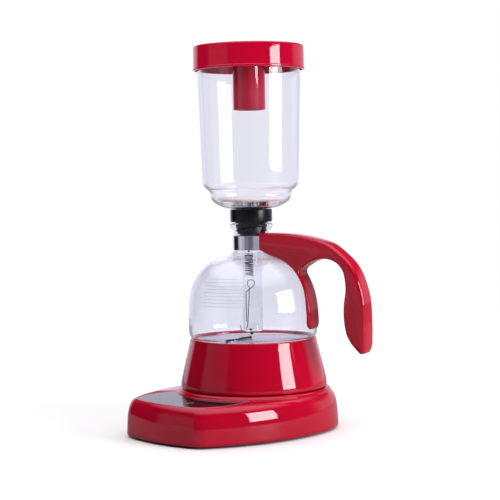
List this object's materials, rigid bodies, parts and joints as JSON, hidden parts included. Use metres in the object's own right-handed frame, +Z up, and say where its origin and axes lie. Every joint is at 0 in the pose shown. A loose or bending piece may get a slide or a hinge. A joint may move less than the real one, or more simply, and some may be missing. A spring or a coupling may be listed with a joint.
{
  "type": "electric siphon coffee maker",
  "caption": "Vacuum coffee maker: a glass funnel with a red lid stands in the neck of a round glass pot with a red handle, which lifts off a heated red base with a touch panel.",
  "frame": {"origin": "on the table under the middle of the whole object's box", "axes": "+Z up along the pot's axis, the base's nose and touch panel point along -Y, the handle points mostly along +X at rest"},
  "size_m": [0.2021, 0.206, 0.3618],
  "materials": {
    "red_plastic": "high gloss injection-moulded, crimson",
    "black_plastic": "satin moulded",
    "touch_glass": "mirror-gloss black",
    "clear_glass": "clear heat-proof glass",
    "polished_steel": "polished",
    "steel": "satin",
    "black_rubber": "satin",
    "pale_silicone": "matt",
    "filter_cloth": "woven cotton",
    "circuit_board": "solder-masked",
    "white_nylon": "satin",
    "blue_plastic": "satin",
    "yellow_tape": "satin tape over a wound core"
  },
  "bodies": {
    "base": {"base_housing": "red_plastic", "touch_panel": "touch_glass", "base_bottom_plate": "black_plastic", "foot_1": "black_rubber", "foot_2": "black_rubber", "foot_3": "black_rubber", "foot_4": "black_rubber", "base_screw_1": "steel", "base_screw_2": "steel", "base_screw_3": "steel", "base_screw_4": "steel", "base_connector": "black_plastic", "control_board": "circuit_board", "board_pillar_1": "white_nylon", "board_pillar_2": "white_nylon", "board_pillar_3": "white_nylon", "board_pillar_4": "white_nylon", "power_relay": "blue_plastic", "transformer": "yellow_tape", "buzzer": "black_plastic", "touch_board": "circuit_board", "cord_inlet_bush": "black_rubber"},
    "pot_socket": {"pot_connector": "black_plastic"},
    "pot": {"pot_glass": "clear_glass", "heater_plate": "steel", "glass_seal": "pale_silicone", "heating_element": "steel", "thermostat": "black_plastic", "pot_skirt": "red_plastic", "pot_base_cover": "black_plastic", "cover_screw_1": "steel", "cover_screw_2": "steel", "cover_screw_3": "steel", "neck_band": "polished_steel", "band_screw": "steel", "band_nut": "steel", "handle_body": "red_plastic"},
    "funnel": {"upper_glass": "clear_glass", "stopper": "black_rubber", "filter_hook": "steel", "chain_lead": "steel"},
    "chain": {"boiling_chain": "steel"},
    "filter": {"filter_disc": "steel", "filter_cloth": "filter_cloth", "filter_spring": "steel"},
    "lid": {"lid": "red_plastic"}
  },
  "joints": [
    {"name": "pot_lift", "type": "slide", "parent": "base", "child": "pot_socket", "axis": [0, 0, 1], "range_m": [0, 0.06]},
    {"name": "pot_swivel", "type": "hinge", "parent": "pot_socket", "child": "pot", "pos_m": [-0.0187, 0.023, 0.0395], "axis": [0, 0, 1], "continuous": true},
    {"name": "funnel_lift", "type": "slide", "parent": "pot", "child": "funnel", "axis": [0, 0, 1], "range_m": [0, 0.13]},
    {"name": "lid_lift", "type": "slide", "parent": "funnel", "child": "lid", "axis": [0, 0, 1], "range_m": [0, 0.06]},
    {"name": "filter_lift", "type": "slide", "parent": "funnel", "child": "filter", "axis": [0, 0, 1], "range_m": [0, 0.012], "stiffness_N_per_m": 60, "springref_m": -0.012, "deforming": ["filter_spring"]},
    {"name": "chain_swing", "type": "hinge", "parent": "funnel", "child": "chain", "pos_m": [-0.0181, 0.0226, 0.0865], "axis": [0.9659, 0.2588, 0], "range_deg": [0, 90]}
  ],
  "couplings": [
    {"joint": "chain_swing", "follows": "funnel_lift", "rad_per_m": 12}
  ]
}
